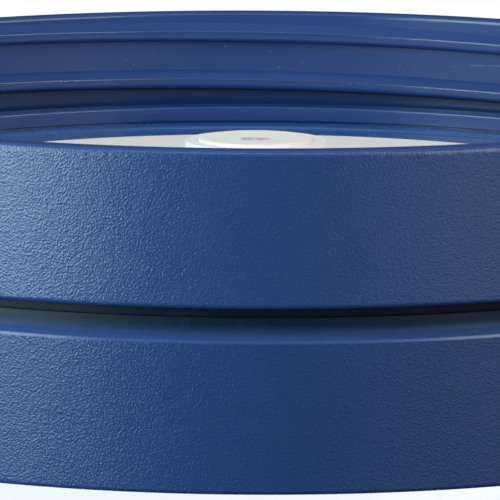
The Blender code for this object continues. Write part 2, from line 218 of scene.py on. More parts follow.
def turned(name, corners, steps=RING_STEPS, closed=True, arc_steps=ARC_STEPS):
    """Turns corners (radius, depth, rounding) about Z. Points on the axis become one vertex."""
    outline = rounded([(r, height(depth), k) for r, depth, k in corners], arc_steps, guards=True)
    bm = bmesh.new()
    rings = []
    for radius, z in outline:
        if radius < 1e-6:
            rings.append([bm.verts.new((0.0, 0.0, z * MM))])
        else:
            rings.append([bm.verts.new(polar(radius, a, z) * MM) for a in spread(steps)])
    pairs = list(zip(rings, rings[1:]))
    if closed:
        pairs.append((rings[-1], rings[0]))
    for upper, lower in pairs:
        if len(upper) == 1 and len(lower) == 1:
            continue
        for i in range(steps):
            j = (i + 1) % steps
            if len(upper) == 1:
                bm.faces.new((upper[0], lower[i], lower[j]))
            elif len(lower) == 1:
                bm.faces.new((upper[i], lower[0], upper[j]))
            else:
                bm.faces.new((upper[i], lower[i], lower[j], upper[j]))
    bmesh.ops.recalc_face_normals(bm, faces=bm.faces)
    return as_object(name, bm)


def rod(name, radius, top, bottom, steps=SMALL_STEPS):
    """An upright cylinder between two depths, turned by half a facet."""
    bm = bmesh.new()
    place = Matrix.Translation((0, 0, height((top + bottom) / 2) * MM))
    place @= Matrix.Rotation(math.pi / steps, 4, "Z")
    bmesh.ops.create_cone(
        bm, cap_ends=True, segments=steps, radius1=radius * MM, radius2=radius * MM,
        depth=(bottom - top) * MM, matrix=place,
    )
    return as_object(name, bm)


def block(name, size, centre, rounding=0.0):
    """A box of a size about a centre, with rounded edges."""
    bm = bmesh.new()
    place = Matrix.Translation(Vector(centre) * MM)
    place @= Matrix.Diagonal((*(Vector(size) * MM), 1.0))
    bmesh.ops.create_cube(bm, size=1.0, matrix=place)
    if rounding:
        bmesh.ops.bevel(
            bm, geom=bm.edges[:], offset=rounding * MM, segments=4, profile=0.5, affect="EDGES",
        )
    return as_object(name, bm)


def thread_ridge(name, section, reference, span, fade, away):
    """A helical ridge lofted through (radius, height) sections that follow the lid's thread.

    reference is the depth of the section's zero at azimuth 90, span holds the depths of the ridge's
    ends, fade is the run-out in degrees, and away is how far the ridge sinks out of sight there."""
    bm = bmesh.new()
    step_angle = 360.0 / RING_STEPS
    first = round((90.0 + (reference - span[0]) / LEAD * 360.0) / step_angle)
    count = round((span[1] - span[0]) / LEAD * RING_STEPS)
    rings = []
    for step in range(count + 1):
        azimuth = (first - step) * step_angle
        middle = height(reference + (90.0 - azimuth) / 360.0 * LEAD)
        full = min(1.0, step * step_angle / fade, (count - step) * step_angle / fade)
        sink = away * (1.0 - math.sin(full * math.pi / 2))
        rings.append([bm.verts.new(polar(r + sink, azimuth, middle + z) * MM) for r, z in section])
    size = len(section)
    for near, far in zip(rings, rings[1:]):
        for i in range(size):
            j = (i + 1) % size
            bm.faces.new((near[i], near[j], far[j], far[i]))
    bm.faces.new(reversed(rings[0]))
    bm.faces.new(rings[-1])
    bmesh.ops.recalc_face_normals(bm, faces=bm.faces)
    return as_object(name, bm)


def link(piece):
    """Puts an object in the scene, if it isn't there yet."""
    objects = bpy.context.scene.collection.objects
    if piece.name not in objects:
        objects.link(piece)


def apply_modifiers(piece):
    """Makes what a piece's modifiers show its own mesh."""
    bpy.context.view_layer.update()
    depsgraph = bpy.context.evaluated_depsgraph_get()
    mesh = bpy.data.meshes.new_from_object(piece.evaluated_get(depsgraph))
    piece.modifiers.clear()
    piece.data = mesh


def combine(target, tools, operation):
    """Joins or cuts target with tools by exact booleans, and removes the tools."""
    for piece in (target, *tools):
        link(piece)
    for tool in tools:
        cut = target.modifiers.new(tool.name, "BOOLEAN")
        cut.operation = operation
        cut.object = tool
        cut.solver = "EXACT"
    apply_modifiers(target)
    for tool in tools:
        bpy.data.objects.remove(tool)


def soften(piece, width):
    """Rounds the edges of a piece that is in the scene."""
    modifier = piece.modifiers.new("soften", "BEVEL")
    modifier.width = width * MM
    modifier.segments = 2
    modifier.limit_method = "ANGLE"
    modifier.angle_limit = math.radians(50)
    apply_modifiers(piece)


def at(piece, place):
    """Moves a piece to a place."""
    piece.location = Vector(place) * MM
    return piece


def finish(piece, material, slot, body, *nodes):
    """Gives a piece its place, shading, material and body, and hides the CAD nodes it stands for.
    """
    link(piece)
    bpy.context.view_layer.update()
    mesh = piece.data
    mesh.transform(piece.matrix_world)
    piece.matrix_world = Matrix.Identity(4)
    bm = bmesh.new()
    bm.from_mesh(mesh)
    bmesh.ops.remove_doubles(bm, verts=bm.verts, dist=WELD)
    bm.to_mesh(mesh)
    bm.free()
    mesh.shade_smooth()
    mesh.set_sharp_from_angle(angle=math.radians(SHARP_ANGLE))
    mesh.materials.clear()
    mesh.materials.append(material)
    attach(piece, body)
    if nodes:
        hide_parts(*nodes)


def dress_faces(piece, material, radii, depths):
    """Gives a material of its own to the faces between two radii and two depths."""
    piece.data.materials.append(material)
    slot = len(piece.data.materials) - 1
    for face in piece.data.polygons:
        radius, depth = face.center.xy.length / MM, HEIGHT - face.center.z / MM
        if radii[0] < radius < radii[1] and depths[0] < depth < depths[1]:
            face.material_index = slot


# ---------------------------------------------------------------- materials

# Pairs of colours that a surface wanders between
NAVY = ((0.012, 0.041, 0.167), (0.0145, 0.047, 0.184))
# Lighter navy for the lid's floor: painted light on an up-facing surface
NAVY_MATT = ((0.022, 0.072, 0.240), (0.025, 0.079, 0.260))
# Pale blue of whitened nicks, which also paints a highlight along the thread's crest
NAVY_NICKS_AND_HIGHLIGHT = ((0.05, 0.11, 0.27), (0.17, 0.27, 0.42))
# Near black, for the painted shade in the groove
NAVY_PAINTED_SHADE = ((0.004, 0.011, 0.030), NAVY[1])
WHITES = ((0.745, 0.715, 0.72), (0.775, 0.745, 0.75))
BARREL_BLUES = ((0.93, 0.97, 1.0), (0.96, 0.985, 1.0))
BLACKS = ((0.022, 0.022, 0.025), (0.04, 0.04, 0.043))
STEELS = ((0.54, 0.54, 0.53), (0.66, 0.66, 0.64))
FLOOR_GREYS = ((0.60, 0.60, 0.60), (0.63, 0.63, 0.63))


class Nodes:
    """Shorthand for building one material's node tree."""

    def __init__(self, name):
        self.material = bpy.data.materials.new(name)
        self.material.use_nodes = True
        self.tree = self.material.node_tree
        self.shader = self.tree.nodes["Principled BSDF"]
        self.place = self.add("ShaderNodeTexCoord").outputs["Object"]

    def put(self, socket, value):
        """Links a socket to an input, or sets the input to a value."""
        if isinstance(value, bpy.types.NodeSocket):
            self.tree.links.new(value, socket)
        else:
            socket.default_value = value

    def fill(self, node, inputs):
        """Puts values in a node's inputs. Their names have _ for a space."""
        for key, value in inputs.items():
            self.put(node.inputs[key.replace("_", " ")], value)

    def add(self, kind, **inputs):
        """Adds a node."""
        node = self.tree.nodes.new(kind)
        self.fill(node, inputs)
        return node

    def set(self, **inputs):
        """Puts values in the shader's inputs."""
        self.fill(self.shader, inputs)

    def noise(self, size, detail=2.0, stretch=(1.0, 1.0, 1.0)):
        """Noise from 0 to 1, with features of about a size."""
        mapping = self.add("ShaderNodeMapping", Vector=self.place, Scale=stretch)
        node = self.add(
            "ShaderNodeTexNoise", Vector=mapping.outputs[0], Scale=1.0 / (size * MM),
            Detail=detail, Roughness=0.5,
        )
        return node.outputs["Fac"]

    def cells(self, size):
        """Distance field of soft cells of about a size."""
        node = self.add("ShaderNodeTexVoronoi", Vector=self.place, Scale=1.0 / (size * MM))
        node.feature = "SMOOTH_F1"
        node.inputs["Smoothness"].default_value = 0.6
        return node.outputs["Distance"]

    def math(self, operation, a, b):
        """Works out one sum."""
        node = self.add("ShaderNodeMath")
        node.operation = operation
        self.put(node.inputs[0], a)
        self.put(node.inputs[1], b)
        return node.outputs[0]

    def span(self, value, low, high, start=0.3, end=0.7):
        """Maps value from start..end, as most of a noise is, to low..high, clamped."""
        node = self.add("ShaderNodeMapRange")
        for socket, number in zip(node.inputs, (value, start, end, low, high)):
            self.put(socket, number)
        return node.outputs[0]

    def mix(self, amount, colours, shade=1.0):
        """Mixes a pair of colours, scaled by shade."""
        node = self.add("ShaderNodeMix")
        node.data_type = "RGBA"
        self.put(node.inputs[0], amount)
        for socket, colour in zip(node.inputs[6:8], colours):  # the colour ones, A and B
            self.put(socket, (*(c * shade for c in colour), 1.0))
        return node.outputs[2]

    def bump(self, level, depth, under=None):
        """Relief of a depth where level goes from 0 to 1."""
        node = self.add("ShaderNodeBump", Height=level, Distance=depth * MM, Strength=1.0)
        if under is not None:
            self.put(node.inputs["Normal"], under)
        return node.outputs[0]


def moulded_grain(name, shade, shine):
    """Navy plastic with the leather grain of the collar's outer faces."""
    n = Nodes(name)
    grain = n.math("ADD", n.noise(0.36), n.cells(0.40))
    waves = n.bump(n.noise(1.5, detail=1.0), 0.03)
    n.set(
        Base_Color=n.mix(n.noise(9.0, detail=3.0), NAVY, shade),
        Roughness=n.span(n.noise(2.6), 0.27, 0.34),
        Specular_IOR_Level=shine,
        Normal=n.bump(grain, 0.06, under=waves),
    )
    return n.material


def moulded_smooth(name, shade, shine):
    """Navy plastic as it comes off a polished mould, with faint flow and handling marks."""
    n = Nodes(name)
    scuffs = n.noise(0.8, detail=3.0, stretch=(1.0, 1.0, 6.0))
    n.set(
        Base_Color=n.mix(n.noise(14.0, detail=3.0), NAVY, shade),
        Roughness=n.span(scuffs, 0.17, 0.27, 0.35, 0.7),
        Specular_IOR_Level=shine,
        Normal=n.bump(n.noise(3.5), 0.02, under=n.bump(scuffs, 0.006)),
    )
    return n.material


def moulded_matt(name):
    """Navy plastic with the even, softer sheen of the lid's floor, its colour lighter than NAVY as
    painted light on that up-facing floor.
    """
    n = Nodes(name)
    n.set(
        Base_Color=n.mix(n.noise(5.0, detail=3.0), NAVY_MATT),
        Roughness=n.span(n.noise(4.0), 0.24, 0.28),
        Normal=n.bump(n.noise(3.5), 0.003),
    )
    return n.material


def nicks_and_highlight_plastic(name):
    """Navy plastic whitened by nicks, pale enough that along the thread's crest it is also a
    painted highlight.
    """
    n = Nodes(name)
    n.set(
        Base_Color=n.mix(n.noise(0.4), NAVY_NICKS_AND_HIGHLIGHT),
        Roughness=n.span(n.noise(0.3), 0.35, 0.6),
    )
    return n.material


def painted_shade_plastic(name, top, bottom):
    """Navy plastic with painted shade: darkened at a depth top, and at full colour by a depth
    bottom.
    """
    n = Nodes(name)
    split = n.add("ShaderNodeSeparateXYZ", Vector=n.place)
    unshaded = n.span(split.outputs["Z"], 0.0, 1.0, height(top) * MM, height(bottom) * MM)
    streaks = n.math("MULTIPLY", n.math("SUBTRACT", n.noise(2.0, detail=3.0), 0.5), 0.35)
    n.set(
        Base_Color=n.mix(n.math("ADD", unshaded, streaks), NAVY_PAINTED_SHADE),
        Roughness=n.span(n.noise(1.0), 0.38, 0.5),
        Specular_IOR_Level=0.12,
        Normal=n.bump(n.noise(0.8), 0.01),
    )
    return n.material


def white_plastic(name, shade):
    """White plastic with a low sheen."""
    n = Nodes(name)
    n.set(
        Base_Color=n.mix(n.noise(18.0, detail=3.0), WHITES, shade),
        Roughness=n.span(n.noise(1.5), 0.48, 0.58),
        Specular_IOR_Level=0.25,
        Normal=n.bump(n.noise(0.7), 0.02),
    )
    return n.material


def clear_plastic(name):
    """Clear barrel plastic with a faint blue tint, slight waviness and handling haze."""
    n = Nodes(name)
    n.set(
        Base_Color=n.mix(n.noise(40.0), BARREL_BLUES),
        Roughness=n.span(n.noise(6.0, detail=4.0), 0.02, 0.07, 0.4, 0.75),
        Transmission_Weight=1.0,
        IOR=1.45,
        Normal=n.bump(n.noise(26.0, detail=1.0), 0.12),
    )
    return n.material


def seal_rubber(name):
    """Matt black rubber."""
    n = Nodes(name)
    n.set(
        Base_Color=n.mix(n.noise(4.0, detail=3.0), BLACKS),
        Roughness=n.span(n.noise(1.2), 0.6, 0.8),
        Normal=n.bump(n.noise(0.5), 0.02),
    )
    return n.material


def turned_steel(name):
    """Stainless steel with the fine rings that turning leaves, and small scratches."""
    n = Nodes(name)
    rings = n.noise(0.35, stretch=(0.25, 0.25, 6.0))
    marks = n.noise(1.1, detail=4.0)
    n.set(
        Base_Color=n.mix(marks, STEELS),
        Metallic=1.0,
        Roughness=n.span(marks, 0.22, 0.38),
        Normal=n.bump(rings, 0.01),
    )
    return n.material


# Two numbers scale the colour and give the shine; one scales the colour
GRAIN = moulded_grain("navy_grain", 1.0, 0.5)
# Painted shade: the lower band's grain, its colour scaled to 0.90
GRAIN_LOW = moulded_grain("navy_grain_low", 0.90, 0.36)
SMOOTH = moulded_smooth("navy_smooth", 1.0, 0.5)
# Painted shade: the collar's inside, its colour scaled to 0.95
INSIDE = moulded_smooth("navy_inside", 0.95, 0.48)
# Painted shade: the bore below the second ridge, its colour scaled to 0.58
INSIDE_LOW = moulded_smooth("navy_inside_low", 0.58, 0.28)
MATT = moulded_matt("navy_matt")
# Whitened nicks, partly a painted highlight along the crest
NICKS_AND_HIGHLIGHT = nicks_and_highlight_plastic("navy_nicks_and_highlight")
# Painted shade in the groove, darkest at its top under the upper band
GROOVE = painted_shade_plastic("navy_groove", PAINTED_SHADE_TOP, PAINTED_SHADE_BOTTOM)
WHITE = white_plastic("white_moulded", 1.0)
# Painted shade: the white darkened to 0.62, for the gate's dimple
GATE_SHADE = white_plastic("white_painted_shade", 0.62)
CLEAR = clear_plastic("clear_barrel")
RUBBER = seal_rubber("rubber_matt")
STEEL = turned_steel("steel_turned")


# ---------------------------------------------------------------- canister body


def make_barrel():
    """The clear barrel: neck flange with screw holes, beads, foot ring and raised base."""
    base = HEIGHT - 4.0
    inner = [
        (0, base - WALL, 0),
        (80.0, base - WALL, 3.0),
        (84.0, HEIGHT - WALL, 2.0),
        (BODY_R - WALL, HEIGHT - WALL, 9.0),
        (BODY_R - WALL, BODY_TOP, 6.0),
        (NECK_R - WALL, NECK_BOTTOM, 6.0),
        (NECK_R - WALL, FLANGE_TOP, 0.8),
    ]
    outer = [
        (FLANGE_R, FLANGE_TOP, 0.5),
        (FLANGE_R, FLANGE_BOTTOM, 0.5),
        (NECK_R, FLANGE_BOTTOM, 0.5),
        (NECK_R, NECK_BOTTOM, 6.0),
        (BODY_R, BODY_TOP, 6.0),
    ]
    for centre in BEADS:
        outer += [
            (BODY_R, centre - 4.7, 1.5),
            (BEAD_R, centre - 2.5, 1.5),
            (BEAD_R, centre + 2.5, 1.5),
            (BODY_R, centre + 4.7, 1.5),
        ]
    outer += [
        (BODY_R, HEIGHT - 7.0, 5.0),
        (96.0, HEIGHT, 2.0),
        (86.0, HEIGHT, 1.0),
        (82.0, base, 1.5),
        (0, base, 0),
    ]
    shell = turned("canister_shell_fine", inner + outer, closed=False)
    holes = []
    for azimuth in spread(6):
        hole = rod("hole", SCREW_HOLE_R, FLANGE_TOP - 1.0, FLANGE_BOTTOM + 1.0, HOLE_STEPS)
        holes.append(at(hole, polar(SCREW_CIRCLE_R, azimuth)))
    combine(shell, holes, "DIFFERENCE")
    finish(shell, CLEAR, "clear_polycarbonate", CANISTER, "canister_shell")


def make_upper_band():
    """The upper band with its thread, seal seat, mouth ring, cam pocket and screw holes."""
    joint = bottom_of("collar_upper")
    pocket_top, pocket_bottom = 43.4, 48.0
    seat_top, seat_bottom = 37.6, 40.6
    ring = turned(
        "collar_upper_fine",
        [
            (COLLAR_R, 0.0, 1.2),
            (COLLAR_R, BAND_BOTTOM, 0.9),
            (GROOVE_WALL_R, BAND_BOTTOM + 0.1, 0.3),
            (GROOVE_WALL_R, 31.9, 0.3),
            (FLANGE_R, 32.1, 0.2),
            (FLANGE_R, joint, 0.4),
            (102.9, joint, 0.3),
            (102.9, pocket_bottom, 0.3),
            (CAM_POCKET_R, pocket_bottom, 0.3),
            (CAM_POCKET_R, pocket_top, 0.4),
            (MOUTH_R, pocket_top, 0.5),
            (MOUTH_R, seat_bottom, 0.5),
            (SEAT_R, seat_bottom, 0.4),
            (SEAT_R, seat_top, 0.4),
            (BORE_R, 36.4, 0.4),
            (BORE_R, 0.0, 0.8),
        ],
    )
    section = rounded(
        [
            (BORE_R + 0.6, 1.9, 0),
            (BORE_R - 0.25, 1.8, 0.15),
            (CREST_R, 0.05, 0.5),
            (CREST_R, -2.2, 1.2),
            (BORE_R + 0.6, -2.35, 0),
        ],
        SECTION_STEPS,
    )
    ridge = thread_ridge(
        "female_ridge", section, THREAD_START, span=(2.4, 34.4), fade=THREAD_FADE, away=2.3
    )
    combine(ring, [ridge], "UNION")
    holes = []
    for azimuth in spread(6):
        hole = rod("hole", SCREW_HOLE_R, 42.0, joint + 1.0, HOLE_STEPS)
        holes.append(at(hole, polar(SCREW_CIRCLE_R, azimuth)))
    combine(ring, holes, "DIFFERENCE")
    finish(ring, SMOOTH, "navy_plastic", CANISTER, "collar_upper")
    bore_end = 36.0
    dress_faces(ring, GRAIN, (COLLAR_R - 0.6, COLLAR_R + 1.0), (0.5, BAND_BOTTOM - 0.3))
    # Painted shade on the groove's wall
    dress_faces(ring, GROOVE, (GROOVE_WALL_R - 0.3, COLLAR_R - 0.5), (BAND_BOTTOM - 0.2, 33.0))
    # Painted shade: the bore and thread get the slightly darkened navy
    dress_faces(ring, INSIDE, (CREST_R - 0.1, BORE_R + 0.3), (1.1, bore_end))
    # Painted shade on the bore under the second ridge, down towards the lid
    dress_faces(ring, INSIDE_LOW, (BORE_R - 0.1, BORE_R + 0.3), (16.8, bore_end))


def make_lower_band():
    """The lower band: a curved lip under the groove, with a fine double edge, and screw sinks."""
    bottom = bottom_of("collar_lower")
    inner_r = FLANGE_R + 0.15
    clamp = FLANGE_BOTTOM + FIT
    ring = turned(
        "collar_lower_fine",
        [
            (inner_r, 31.0, 0),
            (inner_r + 0.45, 33.5, 2.5),
            (COLLAR_R - 0.35, LIP_BOTTOM - 0.5, 0.35),
            (COLLAR_R, LIP_BOTTOM, 0.25),
            (COLLAR_R, bottom, 0.7),
            (CAM_POCKET_R, bottom, 0.5),
            (CAM_POCKET_R, clamp, 0.3),
            (inner_r, clamp, 0.3),
        ],
    )
    sink_r = own_radius_of("collar_screw_1") + FIT
    head_top = COLLAR_SCREW[2]
    holes = []
    for azimuth in spread(6):
        place = polar(SCREW_CIRCLE_R, azimuth)
        holes.append(at(rod("hole", SCREW_HOLE_R, 52.0, 57.0, HOLE_STEPS), place))
        sink = rod("sink", sink_r, head_top - FIT, bottom + 1.0, SINK_STEPS)
        holes.append(at(sink, place))
    combine(ring, holes, "DIFFERENCE")
    finish(ring, SMOOTH, "navy_plastic", CANISTER, "collar_lower")
    # Painted shade: the lower band gets the darkened grain
    dress_faces(ring, GRAIN_LOW, (COLLAR_R - 0.5, COLLAR_R + 1.0), (LIP_BOTTOM - 0.1, bottom - 0.2))
    # Painted shade on the lip under the groove
    dress_faces(ring, GROOVE, (inner_r, COLLAR_R - 0.25), (30.0, LIP_BOTTOM - 0.4))


def make_gasket(node, body, inner, outer):
    """A seal ring with rounded edges and two fine beads on its upper face."""
    top, bottom = top_of(node), bottom_of(node)
    middle = (inner + outer) / 2
    rounding = min(0.3, (bottom - top) / 3)
    bead = 0.12
    ring = turned(
        f"{node}_fine",
        [
            (outer, top + bead, rounding / 2),
            (outer, bottom, rounding),
            (inner, bottom, rounding),
            (inner, top + bead, rounding / 2),
            (middle - 0.35, top, 0.05),
            (middle - 0.1, top + bead, 0.03),
            (middle + 0.1, top + bead, 0.03),
            (middle + 0.35, top, 0.05),
        ],
        arc_steps=3,
    )
    finish(ring, RUBBER, "seal_rubber", body, node)


def make_screw(node, body, azimuth, circle_r, sizes):
    """A pan-head screw driven upwards, with rolled thread rings on its shank and a hex recess."""
    shank_r, head_r, head_top, drive_r = sizes
    top, bottom = top_of(node), bottom_of(node)
    head = bottom - head_top
    tip = top + 0.8
    pitch = shank_r * 0.5
    points = [(0, top, 0), (shank_r * 0.6, top, 0), (shank_r, tip, 0)]
    depth = tip + pitch
    while depth < head_top - pitch:
        points += [(shank_r, depth, 0), (shank_r * 0.86, depth + pitch / 2, 0)]
        depth += pitch
    points += [
        (shank_r, head_top, 0),
        (head_r, head_top, 0.15),
        (head_r, bottom, head * 0.35),
        (0, bottom, 0),
    ]
    screw = turned(f"{node}_fine", points, SMALL_STEPS, closed=False, arc_steps=4)
    drive = rod("drive", drive_r, bottom - head * 0.6, bottom + 1.0, 6)
    combine(screw, [drive], "DIFFERENCE")
    at(screw, polar(circle_r, azimuth))
    finish(screw, STEEL, "stainless_steel", body, node)


def add_fleck(bm, radius, azimuth, depth, size):
    """Adds a lumpy fleck. size holds its half sizes through the wall, along it and upwards."""
    place = polar(radius, azimuth, height(depth)) * MM
    shape = Matrix.Translation(place) @ Matrix.Rotation(math.radians(azimuth), 4, "Z")
    shape @= Matrix.Diagonal((*size, 1.0))
    made = bmesh.ops.create_icosphere(bm, subdivisions=2, radius=MM, matrix=shape)
    for vert in made["verts"]:
        push = noise.noise(vert.co / MM * 2.5)
        vert.co += (vert.co - place) * push * 0.6


def make_thread_wear_and_highlight():
    """Burrs and whitened nicks where the lid's thread has worn the second ridge, laid thick along
    its crest so that they also paint its highlight line; a scratch, and specks of dust.
    """
    nick_and_highlight_runs = ((109.5, 114.5, 40), (60.0, 68.0, 110), (68.0, 80.0, 60))  # from, to, how many
    scratch_steps, specks = 11, 16
    rng = random.Random(7)
    bm = bmesh.new()
    # Runs laid thick along the crest: nicks and a painted highlight line
    for start, end, count in nick_and_highlight_runs:
        for _ in range(count):
            azimuth = rng.uniform(start, end)
            depth = THREAD_START + LEAD + (90.0 - azimuth) / 360.0 * LEAD
            size = rng.uniform(0.05, 0.15)
            long = size * rng.uniform(1.5, 5.0)
            add_fleck(bm, CREST_R + 0.12, azimuth, depth + 0.1, (size, long, size * 0.9))
    for step in range(scratch_steps):
        azimuth, depth = 64.2 - 0.48 * step, 9.9 - 0.045 * step
        add_fleck(bm, BORE_R, azimuth, depth, (0.05, 0.55, 0.05 + 0.02 * rng.random()))
    for _ in range(specks):
        azimuth = rng.uniform(56.0, 124.0)
        depth = rng.uniform(7.2, 11.8) + (90.0 - azimuth) / 360.0 * LEAD
        size = rng.uniform(0.06, 0.13)
        add_fleck(bm, BORE_R, azimuth, depth, (size, size * rng.uniform(1.0, 2.0), size))
    finish(as_object("thread_wear_and_highlight", bm), NICKS_AND_HIGHLIGHT, "navy_plastic", CANISTER)


# ---------------------------------------------------------------- lid


def make_lid_dish():
    """The recessed lid: rim, floor, threaded skirt, lock tubes, finger bars and panel recess."""
    floor_under = FLOOR + 3.0
    undercut_r = LAND_R + 0.5
    dish = turned(
        "lid_dish_fine",
        [
            (LID_R, LID_TOP, 0.25),
            (LID_R, LID_BOTTOM, 0.6),
            (SKIRT_R, LID_BOTTOM, 0.4),
            (SKIRT_R, floor_under, 1.0),
            (POCKET_R, floor_under, 0.8),
            (POCKET_R, RETAINER_SEAT, 0.4),
            (POCKET_INNER_R, RETAINER_SEAT, 0.4),
            (POCKET_INNER_R, GASKET_SEAT, 0.3),
            (RECESS_R, GASKET_SEAT, 0.2),
            (RECESS_R, FLOOR, 0.15),
            (LEDGE_R - 0.3, FLOOR, 0.3),
            (LEDGE_R, LEDGE, 0.5),
            (undercut_r, LEDGE, 0.1),
            (undercut_r, LEDGE - 0.35, 0.1),
            (LAND_R, LEDGE - 0.4, 0.1),
            (LAND_R, LID_TOP, 0.45),
        ],
    )
    section = rounded(
        [
            (LID_R - 0.6, -3.35, 0),
            (MALE_CREST_R, -2.1, 0.3),
            (MALE_CREST_R, 0.0, 0.3),
            (LID_R - 0.6, 0.05, 0),
        ],
        SECTION_STEPS,
    )
    male_start = THREAD_START + 2.6
    adds = [
        thread_ridge(
            "male_ridge", section, male_start, span=(24.0, 34.6), fade=THREAD_FADE, away=-2.6
        )
    ]
    for azimuth in spread(3, 270.0):
        tube = rod("tube", 6.4, FLOOR + 1.0, TUBE_BOTTOM)
        adds.append(at(tube, polar(LOCK_AXIS_R, azimuth)))
    bar_top, bar_bottom = top_of("lid_dish"), FLOOR + 1.0
    for side in (-1, 1):
        centre = (side * 87.5, 0.0, height((bar_bottom + bar_top) / 2))
        adds.append(block("finger_bar", (7.0, 46.0, bar_bottom - bar_top), centre, 1.8))
    combine(dish, adds, "UNION")
    holes = []
    for azimuth in spread(3, 270.0):
        place = polar(LOCK_AXIS_R, azimuth)
        holes.append(at(rod("bore", LOCK_SHAFT_R + FIT, 20.0, 50.0), place))
        holes.append(at(rod("seat", LOCK_HEAD_R + FIT, 20.0, 25.0), place))
    combine(dish, holes, "DIFFERENCE")
    finish(dish, SMOOTH, "navy_plastic", LID, "lid_dish")
    # Painted light: the floor gets the lighter navy
    dress_faces(dish, MATT, (RECESS_R, LAND_R), (LEDGE - 0.05, FLOOR + 0.1))


def make_lid_panel():
    """The white panel: centre boss with a shoulder, a gate mark greyed as painted shade, and screw
    bosses below.
    """
    top, rim_r = top_of("lid_panel"), radius_of("lid_panel")
    shoulder = top + 0.6
    hollow = top + 3.5
    panel = turned(
        "lid_panel_fine",
        [
            (0, top + 0.16, 0),
            (0.5, top + 0.2, 0.1),
            (0.8, top + 0.5, 0.1),
            (2.7, top + 0.42, 0.2),
            (3.0, top + 0.22, 0.15),
            (6.0, top + 0.12, 4.0),
            (10.0, top, 3.0),
            (11.1, top + 0.05, 0.3),
            (11.4, shoulder, 0.1),
            (13.2, shoulder, 0.3),
            (14.0, shoulder - 0.12, 0.25),
            (15.2, PANEL_TOP, 0.8),
            (rim_r, PANEL_TOP, 0.25),
            (rim_r, PANEL_UNDER, 0.2),
            (13.1, PANEL_UNDER, 0.5),
            (11.9, hollow, 0.5),
            (0, hollow, 0),
        ],
        closed=False,
    )
    bosses, holes = [], []
    for azimuth in spread(6, 30.0):
        place = polar(PANEL_SCREW_R, azimuth)
        bosses.append(at(rod("boss", 3.8, PANEL_UNDER - 1.0, RETAINER_SEAT), place))
        hole = rod("hole", PANEL_HOLE_R, PANEL_UNDER - 0.6, RETAINER_SEAT + 1.0, HOLE_STEPS)
        holes.append(at(hole, place))
    combine(panel, bosses, "UNION")
    combine(panel, holes, "DIFFERENCE")
    finish(panel, WHITE, "white_plastic", LID, "lid_panel")
    # Painted shade in the gate's dimple
    dress_faces(panel, GATE_SHADE, (0.3, 2.95), (top + 0.1, top + 0.6))


def make_retainer():
    """The navy ring that holds the panel from below."""
    top, bottom = top_of("panel_retainer"), bottom_of("panel_retainer")
    ring = turned(
        "panel_retainer_fine",
        [
            (RETAINER_R, top, 0.3),
            (RETAINER_R, bottom, 0.6),
            (RETAINER_INNER_R, bottom, 0.6),
            (RETAINER_INNER_R, top, 0.3),
        ],
    )
    holes = []
    for azimuth in spread(6, 30.0):
        hole = rod("hole", PANEL_HOLE_R, top - 1.0, bottom + 1.0, HOLE_STEPS)
        holes.append(at(hole, polar(PANEL_SCREW_R, azimuth)))
    combine(ring, holes, "DIFFERENCE")
    finish(ring, SMOOTH, "navy_plastic", LID, "panel_retainer")


def make_lock(index, azimuth):
    """A coin lock: slotted barrel, swinging cam and its screw."""
    body = f"lock_{index}"
    barrel_node, cam_node = f"lock_barrel_{index}", f"lock_cam_{index}"
    bore_top = 36.0
    stud_top, stud_bottom = TUBE_BOTTOM + 0.1, CAM_BOTTOM + 0.2
    barrel = turned(
        f"{barrel_node}_fine",
        [
            (0, LOCK_TOP, 0),
            (LOCK_HEAD_R, LOCK_TOP, 0.35),
            (LOCK_HEAD_R, LOCK_HEAD_UNDER, 0.1),
            (LOCK_SHAFT_R, LOCK_HEAD_UNDER, 0.2),
            (LOCK_SHAFT_R, stud_top, 0.3),
            (LOCK_STUD_R, stud_top, 0),
            (LOCK_STUD_R, stud_bottom, 0.2),
            (1.7, stud_bottom, 0),
            (1.7, bore_top, 0),
            (0, bore_top, 0),
        ],
        SMALL_STEPS,
        closed=False,
    )
    slot = block("coin_slot", (2.2, 9.4, 1.8), (0, 0, height(LOCK_TOP)), 0.5)
    combine(barrel, [slot], "DIFFERENCE")
    cam = rod(f"{cam_node}_fine", 4.6, CAM_TOP, CAM_BOTTOM)
    arm_centre = (0, 4.9, height((CAM_TOP + CAM_BOTTOM) / 2))
    arm = block("arm", (7.2, 9.8, CAM_BOTTOM - CAM_TOP), arm_centre)
    combine(cam, [arm], "UNION")
    combine(cam, [rod("hole", LOCK_STUD_R + FIT, 40.0, 50.0)], "DIFFERENCE")
    soften(cam, 0.25)
    turn = Matrix.Rotation(math.radians(azimuth), 4, "Z")
    place = Matrix.Translation(polar(LOCK_AXIS_R, azimuth) * MM) @ turn
    for piece, node in ((barrel, barrel_node), (cam, cam_node)):
        piece.data.transform(place)
        finish(piece, STEEL, "stainless_steel", body, node)
    make_screw(f"lock_screw_{index}", body, azimuth, LOCK_AXIS_R, LOCK_SCREW)


# ---------------------------------------------------------------- studio

# Strength of the surroundings as a light, by the sine of elevation
SURROUNDINGS = (
    (-1.0, 0.02), (-0.42, 0.02), (-0.25, 0.24), (-0.02, 0.24),
    (0.08, 0.06), (0.50, 0.06), (0.75, 0.38), (1.0, 0.38),
)

